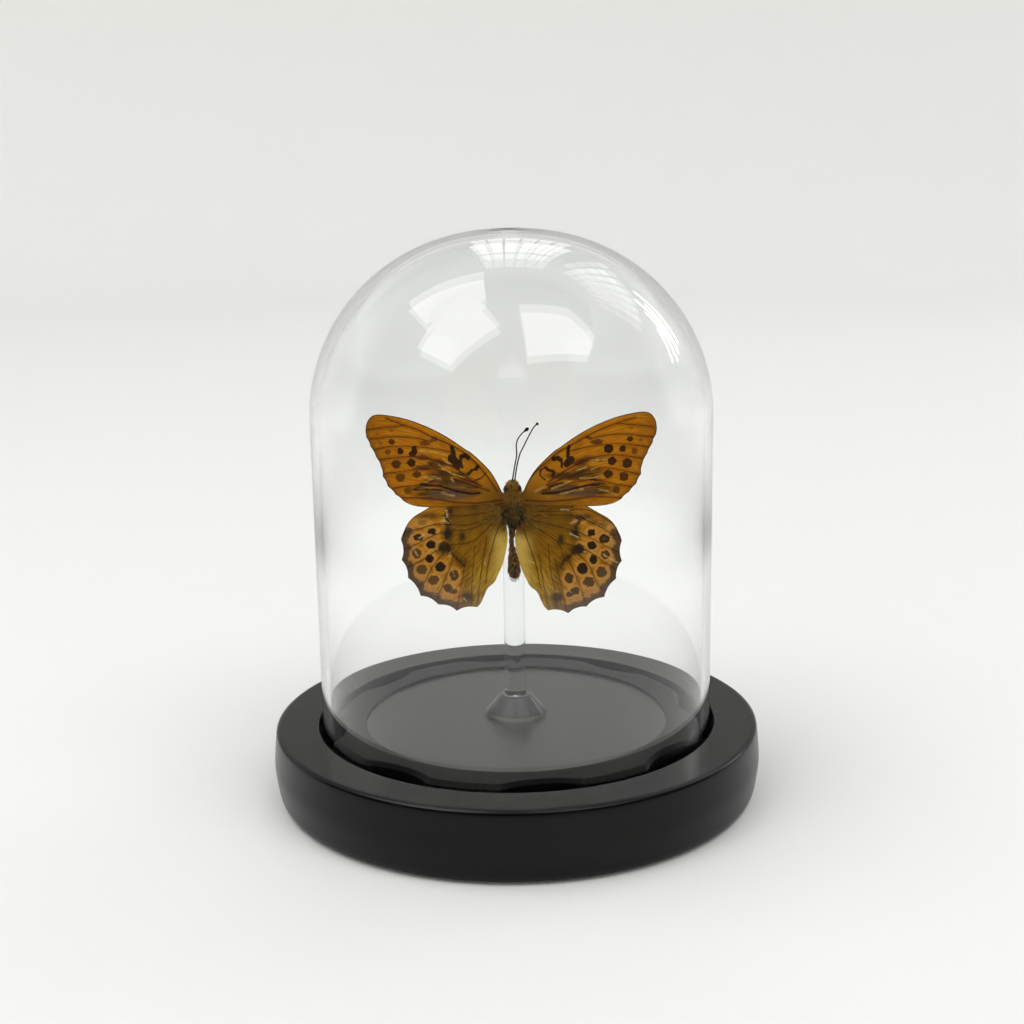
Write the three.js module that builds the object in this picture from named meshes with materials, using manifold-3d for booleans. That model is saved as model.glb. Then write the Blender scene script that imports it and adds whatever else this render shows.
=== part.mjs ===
// A dried butterfly on a clear stand, under a glass dome that stands in a turned black base.
// Millimetres, +Z up, the origin at the middle of the base's underside, the viewer at -Y.
import * as THREE from "three";
import { mergeVertices } from "three/addons/utils/BufferGeometryUtils.js";
import Module from "manifold-3d";

const wasm = await Module();
wasm.setup();

// Driving dimensions
const FIT = 0.3;                    // gap left between pieces that touch
const BASE_RADIUS = 60;
const RIM_TOP = 17.7;               // height of the base
const SEAT_RADIUS = 48.95;          // round seat sunk into the base
const SEAT_DEPTH = 6.4;
const GLASS_RADIUS = 47.86;
const GLASS_WALL = 2.0;             // wall at the foot of the dome
const GLASS_CROWN = 2.8;            // wall at its top
const GLASS_TOP = 137.4;
const GLASS_SHOULDER = 94.3;        // the straight wall ends here
const GLASS_INNER_SHOULDER = 89.3;
const CROWN_FULLNESS = [0.917, 1.042]; // powers of the crown's curve, across and up
const DISC_RADIUS = 45.5;           // black board inside the dome
const DISC_BEVEL = 1.2;
const DISC_BEVEL_DROP = 1.0;
const DISC_PROUD = 0.3;             // how far the board stands above the rim
const WELL_RADIUS = 37.2;           // shallow round well in the middle of the board
const WELL_DEPTH = 0.6;
const SCALLOPS = 8;                 // bites out of the board's edge
const SCALLOP_RADIUS = 22;
const SCALLOP_BITE = 3.2;
const SCALLOP_TURN = 7.2;           // degrees from the front
const STAND_X = -0.05;
const STAND_Y = 3.0;
const ROD_RADIUS = 2.65;
const ROD_TOP = 71.5;
const ROD_SUNK = 2.9;               // how far the rod goes down into its foot
const FOOT_RADIUS = 7.5;
const FOOT_TOP_RADIUS = 3.8;
const FOOT_HEIGHT = 4.9;
const FOOT_LIP = 0.8;
const BODY_Y = -2.5;                // middle of the thorax, front to back
const BODY_Z = 72.55;               // level where the wings grow
const FOREWING_Y = -3.6;
const HINDWING_Y = -3.0;
const WING_THICKNESS = 0.5;
const WING_SWEEP = 4;               // degrees that each wing comes forward

// How far each wing sits out and up from its place in the outlines below
const FOREWING_SET = { left: [0.1, 0.45], right: [-0.1, 0.1] };
const HINDWING_SET = { left: [0.45, 0.5], right: [-0.5, -0.6] };

// Faces round each form
const ROUND = 64;
const BOARD_ROUND = 72;
const STAND_ROUND = 32;
const CROWN_STEPS = 10;
const BODY_ROUND = 16;
const HEAD_ROUND = 14;
const EYE_ROUND = 12;
const STALK_SIDES = 5;
const ANTENNA_STEPS = 14;
const LEG_STEPS = 8;

// Derived levels
const SEAT_FLOOR = RIM_TOP - SEAT_DEPTH;
const DISC_TOP = RIM_TOP + DISC_PROUD;
const WELL_FLOOR = DISC_TOP - WELL_DEPTH;
const FOOT_BOTTOM = WELL_FLOOR + FIT;
const FOOT_TOP = FOOT_BOTTOM + FOOT_HEIGHT;
const ROD_BOTTOM = FOOT_TOP - ROD_SUNK;

// Wing outlines, as distance out from the body and height above BODY_Z
const FOREWING_LEADING = [
  [2.0, 1.6], [3.9, 5.6], [5.5, 8.1], [8.0, 10.8], [11.3, 13.7], [15.0, 16.4], [19.2, 18.8],
  [23.9, 20.8], [28.0, 21.9], [31.2, 22.3], [32.9, 21.8], [34.0, 20.2], [34.3, 18.3],
];
const FOREWING_TIPS = [
  [34.1, 16.9], [33.4, 14.6], [32.1, 12.0], [31.0, 9.6], [30.7, 7.2], [29.6, 4.8], [27.8, 2.7],
  [26.0, 1.1],
];
const FOREWING_TRAILING = [[24.2, 0.1], [21.5, -0.5], [17.5, -0.7], [9.0, -0.6], [1.6, -0.4]];
const HINDWING_LEADING = [
  [1.6, -0.6], [9.0, -0.3], [19.3, -0.8], [21.2, -1.8], [23.4, -3.1], [25.0, -4.9], [25.6, -6.8],
];
const HINDWING_TIPS = [
  [26.6, -8.6], [26.6, -13.6], [25.2, -18.1], [22.3, -22.7], [18.0, -25.1], [13.6, -26.8],
  [8.7, -26.1],
];
const HINDWING_TRAILING = [
  [7.6, -24.9], [6.8, -23.1], [5.9, -21.3], [4.35, -20.0], [3.35, -18.0], [2.3, -15.6],
  [1.55, -13.0], [1.05, -10.4], [0.9, -7.9], [1.2, -6.1], [1.4, -4.4],
];

const FOREWING = {
  leading: FOREWING_LEADING, tips: FOREWING_TIPS, trailing: FOREWING_TRAILING, bay: 0.2,
};
const HINDWING = {
  leading: HINDWING_LEADING, tips: HINDWING_TIPS, trailing: HINDWING_TRAILING, bay: 0.55,
};

// Antennae, legs and the abdomen's centre line, in the same terms, with y from the thorax
const ANTENNAE = [
  [[-0.5, -0.8, 4.6], [0.0, -0.9, 5.9], [0.6, -1.2, 9.3], [1.1, -1.4, 12.1], [1.1, -1.6, 15.1],
    [2.1, -1.7, 17.1], [4.0, -1.8, 18.8]],
  [[0.5, -0.8, 4.6], [0.6, -0.9, 5.9], [1.2, -1.0, 9.6], [2.1, -1.1, 12.7], [3.8, -1.2, 16.3],
    [5.3, -1.3, 18.9], [6.3, -1.3, 19.8]],
];
const THORAX = [2.5, 2.45, 5.3];
const THORAX_AT = [0, 0, -0.7];
const HEAD = [1.75, 1.7, 1.9];
const HEAD_AT = [0, 0, 3.7];
const EYE = [1.05, 1.15, 1.25];
const EYE_AT = [1.25, -0.1, 3.3];
const ANTENNA_RADIUS = 0.2;
const CLUB = [0.34, 0.34, 0.85];
const CLUB_BACK = 0.6;              // the club's middle lies this far before the tip
const LEG_RADIUS = 0.22;
const LEGS = [
  [[1.2, 1.4, 1.2], [3.0, 3.0, 0.2], [3.9, 4.0, -2.6], [4.2, 3.2, -5.6], [4.4, 2.6, -7.4]],
  [[1.2, 1.6, -1.6], [3.1, 3.2, -3.0], [4.1, 3.6, -6.2], [4.0, 2.4, -9.2], [4.2, 1.8, -10.8]],
];
const ABDOMEN = [
  [-3.4, 1.5], [-5.4, 1.25], [-7.4, 0.8], [-9.6, 0.58], [-11.6, 0.85], [-13.6, 1.35],
  [-15.4, 1.5], [-17.0, 1.62], [-18.1, 1.3], [-18.7, 0.6],
];
const WAIST_HEIGHT = -9.5;
const WAIST_REACH = 4;
const WAIST_LEAN = 0.55;            // how far the waist bends to the left
const ABDOMEN_LEAN = 0.1;

const colours = {
  lacquer: [0x101110, 0.35, 0],
  board: [0x1b1b18, 0.8, 0],
  glass: [0xeef2f0, 0.03, 0],
  acrylic: [0xf2f4f4, 0.05, 0],
  wing: [0xa86a1c, 0.75, 0],
};

function finish(name) {
  const [color, roughness, metalness] = colours[name];
  return new THREE.MeshStandardMaterial({ color, roughness, metalness });
}

function piece(name, geometry, material) {
  const mesh = new THREE.Mesh(geometry, finish(material));
  mesh.name = name;
  return mesh;
}

// Joining and cutting
function solid(geometry) {
  const bare = geometry.clone();
  bare.deleteAttribute("normal");
  bare.deleteAttribute("uv");
  const merged = mergeVertices(bare, 1e-4);
  return new wasm.Manifold(new wasm.Mesh({
    numProp: 3,
    vertProperties: new Float32Array(merged.attributes.position.array),
    triVerts: new Uint32Array(merged.index.array),
  }));
}

function surface(manifold) {
  const mesh = manifold.getMesh();
  const geometry = new THREE.BufferGeometry();
  geometry.setAttribute("position", new THREE.BufferAttribute(new Float32Array(mesh.vertProperties), 3));
  geometry.setIndex(new THREE.BufferAttribute(new Uint32Array(mesh.triVerts), 1));
  geometry.computeVertexNormals();
  return geometry;
}

// A turned form: profile points are [radius, height], and the turning axis is Z
function turned(profile, segments) {
  const points = profile.map(([radius, height]) => new THREE.Vector2(radius, height));
  return new THREE.LatheGeometry(points, segments).rotateX(Math.PI / 2);
}

function baseGeometry() {
  const side = [
    [54.4, 0], [57.6, 0.6], [58.9, 1.8], [59.5, 4.6], [BASE_RADIUS, 8.8], [59.8, 12.6],
    [59.4, 16.6], [59.0, 17.4], [58.3, RIM_TOP],
  ];
  const seat = [
    [SEAT_RADIUS + 0.3, RIM_TOP], [SEAT_RADIUS, RIM_TOP - 0.3], [SEAT_RADIUS, SEAT_FLOOR],
  ];
  return turned([[0, 0], ...side, ...seat, [0, SEAT_FLOOR]], ROUND);
}

function boardGeometry() {
  const bottom = SEAT_FLOOR + FIT;
  const profile = [
    [0, bottom], [DISC_RADIUS, bottom], [DISC_RADIUS, DISC_TOP - DISC_BEVEL_DROP],
    [DISC_RADIUS - 0.5 * DISC_BEVEL, DISC_TOP - 0.3 * DISC_BEVEL_DROP],
    [DISC_RADIUS - DISC_BEVEL, DISC_TOP], [WELL_RADIUS, DISC_TOP], [WELL_RADIUS, WELL_FLOOR],
    [0, WELL_FLOOR],
  ];
  let disc = solid(turned(profile, BOARD_ROUND));
  const reach = DISC_RADIUS - SCALLOP_BITE + SCALLOP_RADIUS;
  for (let i = 0; i < SCALLOPS; i += 1) {
    const turn = THREE.MathUtils.degToRad(SCALLOP_TURN + (i * 360) / SCALLOPS);
    const cutter = new THREE.CylinderGeometry(
      SCALLOP_RADIUS, SCALLOP_RADIUS, 2 * RIM_TOP, BOARD_ROUND,
    )
      .rotateX(Math.PI / 2)
      .rotateZ(turn)
      .translate(reach * Math.sin(turn), -reach * Math.cos(turn), SEAT_FLOOR);
    disc = disc.subtract(solid(cutter));
  }
  return surface(disc);
}

// One wall of the dome: straight up to the shoulder, then over in a full, near-elliptic crown
function domeLine(radius, shoulder, top) {
  const line = [];
  for (let i = 0; i <= CROWN_STEPS; i += 1) {
    const angle = (i / CROWN_STEPS) * (Math.PI / 2);
    line.push([
      radius * Math.cos(angle) ** CROWN_FULLNESS[0],
      shoulder + (top - shoulder) * Math.sin(angle) ** CROWN_FULLNESS[1],
    ]);
  }
  line[CROWN_STEPS][0] = 0;
  return line;
}

function domeGeometry() {
  const foot = SEAT_FLOOR + FIT;
  const inner = domeLine(
    GLASS_RADIUS - GLASS_WALL, GLASS_INNER_SHOULDER, GLASS_TOP - GLASS_CROWN,
  );
  const outer = domeLine(GLASS_RADIUS, GLASS_SHOULDER, GLASS_TOP);
  const lip = [
    [GLASS_RADIUS - GLASS_WALL, foot + 0.5], [GLASS_RADIUS - 0.7 * GLASS_WALL, foot],
    [GLASS_RADIUS - 0.3 * GLASS_WALL, foot], [GLASS_RADIUS, foot + 0.5],
  ];
  return turned([...inner.reverse(), ...lip, ...outer], ROUND);
}

function footGeometry() {
  const socket = ROD_RADIUS + FIT;
  return turned([
    [0, FOOT_BOTTOM], [FOOT_RADIUS - 0.3, FOOT_BOTTOM], [FOOT_RADIUS, FOOT_BOTTOM + 0.3],
    [FOOT_RADIUS, FOOT_BOTTOM + FOOT_LIP], [FOOT_TOP_RADIUS, FOOT_TOP], [socket, FOOT_TOP],
    [socket, ROD_BOTTOM - FIT], [0, ROD_BOTTOM - FIT],
  ], STAND_ROUND);
}

function rodGeometry() {
  return new THREE.CylinderGeometry(
    ROD_RADIUS, ROD_RADIUS, ROD_TOP - ROD_BOTTOM, STAND_ROUND,
  ).rotateX(Math.PI / 2);
}

// The scalloped margin: a shallow bay between each pair of vein ends
function addBays(shape, tips, side, depth) {
  for (let i = 1; i < tips.length; i += 1) {
    const [u0, v0] = tips[i - 1];
    const [u1, v1] = tips[i];
    const span = Math.hypot(u1 - u0, v1 - v0);
    const inwardU = (v1 - v0) / span;
    const inwardV = -(u1 - u0) / span;
    const middle = [(u0 + u1) / 2 + 2 * depth * inwardU, (v0 + v1) / 2 + 2 * depth * inwardV];
    shape.quadraticCurveTo(side * middle[0], middle[1], side * u1, v1);
  }
}

function wing({ leading, tips, trailing, bay }, side, plane, set) {
  const place = ([u, v]) => new THREE.Vector2(side * u, v);
  const shape = new THREE.Shape();
  shape.moveTo(side * leading[0][0], leading[0][1]);
  shape.splineThru([...leading.slice(1), tips[0]].map(place));
  addBays(shape, tips, side, bay);
  shape.splineThru(trailing.map(place));
  const blade = new THREE.ExtrudeGeometry(shape, {
    depth: WING_THICKNESS, bevelEnabled: false, curveSegments: 3, steps: 1,
  });
  blade.translate(side * set[0], set[1], -WING_THICKNESS / 2).rotateX(Math.PI / 2);
  blade.rotateZ(-side * THREE.MathUtils.degToRad(WING_SWEEP));
  return solid(blade.translate(0, plane - BODY_Y, 0));
}

function ball(radii, at, segments) {
  const geometry = new THREE.SphereGeometry(1, segments, Math.round(segments * 0.6));
  geometry.rotateX(Math.PI / 2).scale(...radii).translate(...at);
  return solid(geometry);
}

function stalk(route, radius, steps) {
  const path = new THREE.CatmullRomCurve3(route.map((point) => new THREE.Vector3(...point)));
  const section = new THREE.Shape();
  for (let i = 0; i < STALK_SIDES; i += 1) {
    const angle = (i / STALK_SIDES) * 2 * Math.PI;
    const x = radius * Math.cos(angle);
    const y = radius * Math.sin(angle);
    if (i === 0) section.moveTo(x, y);
    else section.lineTo(x, y);
  }
  section.closePath();
  return solid(new THREE.ExtrudeGeometry(section, { steps, bevelEnabled: false, extrudePath: path }));
}

function antenna(route) {
  const tip = new THREE.Vector3(...route.at(-1));
  const along = tip.clone().sub(new THREE.Vector3(...route.at(-2))).normalize();
  const club = new THREE.SphereGeometry(1, 8, 6).rotateX(Math.PI / 2).scale(...CLUB);
  const turn = new THREE.Quaternion().setFromUnitVectors(new THREE.Vector3(0, 0, 1), along);
  const middle = tip.addScaledVector(along, -CLUB_BACK);
  club.applyQuaternion(turn).translate(middle.x, middle.y, middle.z);
  return stalk(route, ANTENNA_RADIUS, ANTENNA_STEPS).add(solid(club));
}

function abdomen() {
  const geometry = turned([[0, ABDOMEN.at(-1)[0] - 0.1],
    ...ABDOMEN.toReversed().map(([height, radius]) => [radius, height]),
    [0, ABDOMEN[0][0]]], HEAD_ROUND);
  const places = geometry.attributes.position;
  for (let i = 0; i < places.count; i += 1) {
    const height = places.getZ(i);
    const bend = Math.exp(-(((height - WAIST_HEIGHT) / WAIST_REACH) ** 2));
    const lean = ABDOMEN_LEAN - WAIST_LEAN * bend;
    places.setX(i, places.getX(i) + lean);
  }
  return solid(geometry);
}

function butterflyGeometry() {
  let body = ball(THORAX, THORAX_AT, BODY_ROUND)
    .add(ball(HEAD, HEAD_AT, HEAD_ROUND))
    .add(abdomen());
  for (const side of [-1, 1]) {
    const half = side < 0 ? "left" : "right";
    body = body
      .add(ball(EYE, [side * EYE_AT[0], EYE_AT[1], EYE_AT[2]], EYE_ROUND))
      .add(wing(FOREWING, side, FOREWING_Y, FOREWING_SET[half]))
      .add(wing(HINDWING, side, HINDWING_Y, HINDWING_SET[half]));
    for (const leg of LEGS) {
      body = body.add(stalk(leg.map(([x, y, z]) => [side * x, y, z]), LEG_RADIUS, LEG_STEPS));
    }
  }
  for (const route of ANTENNAE) body = body.add(antenna(route));
  return surface(body);
}

const rod = piece("rod", rodGeometry(), "acrylic");
rod.position.set(0, 0, (ROD_BOTTOM + ROD_TOP) / 2);
const butterfly = piece("butterfly", butterflyGeometry(), "wing");
butterfly.position.set(-STAND_X, BODY_Y - STAND_Y, BODY_Z);

// The stand and what it carries sit a little behind the middle of the base
const stand = new THREE.Group();
stand.position.set(STAND_X, STAND_Y, 0);
stand.add(piece("rod_foot", footGeometry(), "acrylic"), rod, butterfly);

const display = new THREE.Group();
display.add(
  piece("base", baseGeometry(), "lacquer"),
  piece("inlay_disc", boardGeometry(), "board"),
  piece("glass_dome", domeGeometry(), "glass"),
  stand,
);

export default display;
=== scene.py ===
import math
import random
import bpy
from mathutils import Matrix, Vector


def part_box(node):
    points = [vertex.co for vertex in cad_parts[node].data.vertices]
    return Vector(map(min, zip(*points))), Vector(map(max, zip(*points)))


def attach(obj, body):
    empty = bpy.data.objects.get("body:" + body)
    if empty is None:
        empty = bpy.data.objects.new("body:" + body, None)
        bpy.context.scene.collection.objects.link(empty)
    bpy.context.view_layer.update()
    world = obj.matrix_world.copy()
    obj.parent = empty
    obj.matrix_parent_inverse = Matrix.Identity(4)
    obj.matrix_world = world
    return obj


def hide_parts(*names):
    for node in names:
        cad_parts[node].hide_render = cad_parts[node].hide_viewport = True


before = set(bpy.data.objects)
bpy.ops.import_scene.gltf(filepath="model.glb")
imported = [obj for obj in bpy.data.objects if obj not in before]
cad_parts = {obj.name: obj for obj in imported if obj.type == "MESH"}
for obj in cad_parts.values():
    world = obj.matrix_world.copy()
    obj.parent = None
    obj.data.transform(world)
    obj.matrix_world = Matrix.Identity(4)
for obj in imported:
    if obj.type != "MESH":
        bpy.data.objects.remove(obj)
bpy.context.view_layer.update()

from types import SimpleNamespace

import bmesh
import bpy
import numpy as np
from mathutils import Matrix, Vector, noise

# A dried butterfly on a clear stand, under a glass dome on a turned black base.
# Lengths are millimetres until a piece is finished, which turns them into metres.
METRE = 0.001


def box_of(node):
    """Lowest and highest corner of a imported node, in millimetres."""
    return [[corner / METRE for corner in end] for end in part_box(node)]


base_low, base_high = box_of("base")
board_low, board_high = box_of("inlay_disc")
dome_low, dome_high = box_of("glass_dome")
rod_low, rod_high = box_of("rod")
foot_low, foot_high = box_of("rod_foot")

RIM_TOP = base_high[2]
BASE_RADIUS = base_high[0]
SEAT_RADIUS = 48.95
SEAT_FLOOR = 11.3
BOARD_TOP = board_high[2]
BOARD_RADIUS = 45.5
WELL_RADIUS = 37.2
WELL_FLOOR = BOARD_TOP - 0.6
BEVEL = 1.2
SCALLOPS = 8
SCALLOP_RADIUS = 22
SCALLOP_BITE = 3.2
SCALLOP_TURN = math.radians(7.2)

GLASS_RADIUS = dome_high[0]
GLASS_TOP = dome_high[2]
GLASS_FOOT = dome_low[2]
GLASS_WALL = 2.0
GLASS_CROWN = 2.8
GLASS_SHOULDER = 94.3
GLASS_INNER_SHOULDER = 93.6
CROWN_FULLNESS = (0.917, 1.042)
SEAL_RADIUS = 2.2
SEAL_DEPTH = 0.35

STAND = ((rod_low[0] + rod_high[0]) / 2, (rod_low[1] + rod_high[1]) / 2)
ROD_RADIUS = (rod_high[0] - rod_low[0]) / 2
ROD_TOP = rod_high[2]
FOOT_RADIUS = (foot_high[0] - foot_low[0]) / 2
FOOT_TOP_RADIUS = 3.8
FOOT_BOTTOM = foot_low[2]
FOOT_TOP = foot_high[2]
FOOT_LIP = 0.8

BODY_Y = -2.5
BODY_Z = 72.55
FOREWING_Y = -3.6
HINDWING_Y = -3.0
WING_SWEEP = math.radians(4)
VEIN_THICKNESS = 0.2
MEMBRANE_SHARE = 0.5
RIB_REACH = 0.22
PLEAT_DEPTH = 0.16
PLEAT_REACH = 0.9
WAVE_DEPTH = 0.12
WAVE_LENGTH = 5

DOME_STEPS = 160
BASE_STEPS = 192
BOARD_STEPS = 360


# Outlines of the wings, as distance out from the body and height above BODY_Z. A bay is how far
# the margin dips between two vein ends, and the grid is the mesh's columns and rows.
FOREWING = {
    "leading": [
        (2.0, 1.6), (3.9, 5.6), (5.5, 8.1), (8.0, 10.8), (11.3, 13.7), (15.0, 16.4), (19.2, 18.8),
        (23.9, 20.8), (28.0, 21.9), (31.2, 22.3), (32.9, 21.8), (34.0, 20.2), (34.3, 18.3),
    ],
    "tips": [
        (34.1, 16.9), (33.4, 14.6), (32.1, 12.0), (31.0, 9.6), (30.7, 7.2), (29.6, 4.8),
        (27.8, 2.7), (26.0, 1.1),
    ],
    "trailing": [(24.2, 0.1), (21.5, -0.5), (17.5, -0.7), (9.0, -0.6), (1.6, -0.4)],
    "bay": 0.2, "camber": 0.35, "grid": (170, 90),
}
HINDWING = {
    "leading": [
        (1.6, 0.2), (9.0, 0.9), (16.5, 0.5), (19.6, -0.9), (21.2, -1.8), (23.4, -3.1),
        (25.0, -4.9), (25.6, -6.8),
    ],
    "tips": [
        (26.6, -8.6), (26.6, -13.6), (25.2, -18.1), (22.3, -22.7), (18.0, -25.1), (13.6, -26.8),
        (8.7, -26.1),
    ],
    "trailing": [
        (7.6, -24.9), (6.8, -23.1), (5.9, -21.3), (4.35, -20.0), (3.35, -18.0), (2.3, -15.6),
        (1.55, -13.0), (1.05, -10.4), (0.9, -7.9), (1.2, -6.1), (1.4, -4.4),
    ],
    "bay": 0.55, "camber": 0.3, "grid": (125, 140),
}

# Markings in the same terms. Spots and smudges: across, up, half width, half height, darkness.
# Bars: half width, then the points of the bar.
LEFT_FOREWING = {
    "side": -1, "plane": FOREWING_Y, "set": (0.1, 0.45), "outline": FOREWING,
    "spots": [
        (31.6, 17.6, 0.4, 0.4, 0.25), (28.3, 18.3, 0.45, 0.4, 0.35), (31.0, 15.4, 0.5, 0.5, 0.4),
        (28.2, 15.8, 0.75, 0.75, 0.85), (29.3, 13.1, 0.7, 0.7, 0.65), (26.3, 13.3, 0.75, 0.75, 1),
        (27.4, 10.1, 1.2, 1.0, 0.9), (23.8, 10.4, 1.0, 0.95, 1), (26.5, 6.9, 1.15, 1.0, 0.75),
        (22.6, 7.5, 1.1, 0.8, 0.8), (24.8, 3.6, 1.0, 0.9, 0.65), (23.0, 13.3, 0.7, 1.4, 1),
        (23.5, 12.6, 0.8, 0.7, 1), (20.5, 15.2, 1.3, 0.6, 0.7), (18.2, 16.1, 0.85, 0.7, 0.6),
    ],
    "veins": [
        [(3.4, 2.6), (6.4, 7.2), (8.9, 10.2), (12.2, 13.2), (14.8, 14.9), (18.8, 16.7),
         (22.5, 18.7), (25.3, 19.7), (29.5, 21.5)],
        [(24.8, 19.6), (27.7, 19.4), (30.0, 19.2), (33.9, 18.8)],
        [(18.9, 15.6), (22.4, 16.5), (27.5, 17.0), (33.9, 16.5)],
        [(14.4, 12.7), (17.9, 13.7), (22.4, 14.4), (27.9, 14.5), (33.3, 13.7)],
        [(12.7, 8.7), (16.1, 10.3), (20.8, 11.5), (25.0, 11.9), (29.1, 11.6), (32.0, 11.2)],
        [(7.2, 4.2), (9.9, 5.9), (12.5, 8.1), (14.7, 9.4), (17.0, 10.2)],
        [(7.6, 4.4), (12.6, 6.6), (17.3, 8.4), (20.9, 9.0), (24.7, 8.5), (30.5, 7.9)],
        [(5.5, 3.0), (10.3, 4.9), (14.2, 6.3), (17.6, 6.2), (21.0, 5.1), (25.6, 4.7), (29.3, 4.2)],
        [(2.5, 0.7), (8.0, 0.1), (13.4, 0.4), (17.2, 1.2), (21.0, 1.7), (27.2, 2.0)],
    ],
    "bars": [
        (0.27, [(21.6, 5.2), (19.9, 4.8), (17.2, 4.5), (13.7, 3.3), (10.0, 2.4), (7.8, 2.5)]),
        (0.16, [(23.7, 3.7), (21.5, 3.8), (18.9, 3.7), (16.8, 3.4)]),
        (0.55, [(14.1, 14.0), (13.9, 12.8), (13.7, 11.6)]),
        (0.95, [(14.3, 11.1), (13.5, 10.4), (12.9, 9.7)]), (0.3, [(12.8, 9.6), (12.6, 8.7)]),
        (0.6, [(11.9, 11.5), (11.0, 11.7), (10.4, 11.2)]),
        (0.32, [(11.9, 11.5), (12.2, 10.5), (11.8, 8.9)]), (0.45, [(8.1, 9.0), (8.6, 8.3)]),
        (0.33, [(8.6, 8.3), (9.6, 8.1), (10.4, 7.2)]), (0.16, [(6.2, 7.4), (7.4, 6.1), (8.7, 5.7)]),
    ],
    "smudges": [
        (18.0, 9.9, 1.8, 1.1, 0.8), (21.0, 4.6, 1.4, 0.6, 0.8), (11.5, 2.4, 3.0, 0.7, 0.5),
        (15.6, 2.6, 6.2, 1.2, 0.95), (20.8, 11.6, 1.6, 0.6, 0.6), (20.9, 9.1, 2.2, 0.6, 0.8),
        (13.5, 5.3, 4.2, 0.9, 0.9), (16.9, 7.4, 2.8, 0.9, 0.85), (12.4, 7.3, 2.2, 0.5, 0.6),
        (18.6, 5.9, 2.2, 0.5, 0.8), (22.3, 4.0, 1.2, 0.5, 0.7), (9.5, 4.1, 1.8, 0.5, 0.6),
    ],
    "bare": [
        [(22.0, 13.3), (18.6, 12.9), (15.4, 12.0)], [(17.3, 9.7), (16.2, 8.8), (14.0, 7.4), (11.9, 6.5)],
        [(16.1, 11.0), (15.2, 10.2), (14.4, 9.9)], [(14.4, 6.3), (14.0, 5.6)],
        [(21.0, 6.8), (19.2, 6.9), (17.0, 6.2)], [(22.0, 3.9), (19.8, 4.3)], [(17.0, 2.9), (13.8, 2.0)],
        [(20.6, 5.6), (18.2, 6.9)],
    ],
}
RIGHT_FOREWING = {
    "side": 1, "plane": FOREWING_Y, "set": (-0.1, 0.1), "outline": FOREWING,
    "spots": [
        (28.4, 18.3, 0.45, 0.4, 0.3), (30.6, 15.5, 0.5, 0.5, 0.45), (28.0, 15.9, 0.75, 0.75, 0.9),
        (29.1, 12.8, 0.75, 0.8, 0.65), (26.3, 13.4, 0.8, 0.8, 1), (23.0, 13.3, 1.15, 1.1, 1),
        (23.8, 10.4, 1.0, 1.0, 1), (27.4, 9.8, 1.2, 1.15, 0.95), (22.9, 7.2, 1.15, 1.0, 0.95),
        (26.6, 6.6, 1.1, 1.1, 0.85), (24.8, 3.4, 0.95, 1.0, 0.75), (20.3, 15.2, 1.5, 0.65, 0.8),
        (18.2, 16.2, 0.7, 0.4, 0.7),
    ],
    "veins": [
        [(3.1, 4.3), (5.0, 7.0), (7.8, 9.7), (11.2, 12.6), (15.1, 15.0), (19.4, 17.4),
         (24.0, 19.4), (29.2, 21.0)],
        [(24.9, 19.6), (29.7, 19.2), (33.5, 18.7)],
        [(18.8, 16.0), (22.2, 16.8), (26.5, 17.1), (33.5, 16.3)],
        [(14.3, 12.9), (18.0, 13.9), (22.0, 14.5), (26.2, 14.6), (33.2, 13.6)],
        [(13.1, 9.3), (16.3, 10.5), (20.5, 11.5), (24.9, 11.9), (31.2, 10.9)],
        [(8.6, 5.2), (11.7, 7.5), (15.1, 9.4), (18.0, 10.5)],
        [(8.0, 4.4), (12.2, 6.2), (16.0, 7.6), (20.0, 8.7), (24.5, 8.5), (30.0, 7.2)],
        [(7.4, 3.2), (11.6, 4.6), (16.0, 5.5), (20.0, 5.9), (24.5, 4.8), (28.3, 4.1)],
        [(3.3, 0.8), (9.0, 0.6), (14.0, 1.0), (19.3, 1.7), (26.4, 1.4)],
    ],
    "bars": [
        (0.25, [(7.2, 2.5), (10.2, 2.6), (13.3, 3.3), (16.2, 4.1), (18.6, 4.6), (20.6, 4.7)]),
        (0.18, [(8.9, 4.1), (10.6, 4.8), (12.2, 5.1)]), (0.2, [(18.8, 5.9), (21.1, 5.7)]),
        (0.42, [(13.6, 14.1), (13.4, 12.6), (13.4, 11.3)]),
        (0.8, [(14.2, 10.8), (13.5, 10.3), (13.1, 9.7)]),
        (0.52, [(10.0, 10.9), (11.0, 11.1), (11.7, 10.5)]), (0.28, [(11.9, 10.4), (11.9, 8.9)]),
        (0.36, [(8.2, 8.8), (8.7, 8.1), (9.7, 8.0), (10.1, 7.6), (9.7, 6.8)]),
        (0.18, [(7.9, 8.8), (6.8, 8.1), (6.7, 6.9), (7.9, 5.8)]),
    ],
    "smudges": [
        (17.0, 10.6, 1.8, 0.5, 0.6), (18.4, 11.2, 1.4, 0.5, 0.5), (14.8, 6.8, 5.2, 0.85, 0.95),
        (17.9, 8.1, 3.0, 0.9, 0.8), (16.4, 2.9, 6.2, 1.0, 0.9), (21.4, 3.7, 1.9, 0.7, 0.8),
        (20.4, 4.6, 1.8, 0.6, 0.85), (9.6, 2.9, 2.8, 0.7, 0.6), (16.2, 9.7, 1.6, 0.5, 0.6),
        (12.0, 4.3, 3.2, 0.6, 0.7), (20.9, 10.7, 1.8, 0.4, 0.5),
    ],
    "bare": [
        [(5.6, 3.0), (8.0, 4.3)], [(9.5, 3.7), (11.8, 4.6), (14.0, 5.4)], [(11.4, 2.5), (16.9, 3.6)],
        [(16.2, 6.1), (19.0, 6.5), (21.4, 6.7)], [(15.4, 8.1), (17.7, 9.0)],
        [(19.0, 10.5), (22.6, 10.8)], [(20.8, 3.4), (22.6, 3.0), (24.7, 2.2)],
        [(18.9, 8.3), (20.3, 8.8)],
    ],
}
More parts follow.
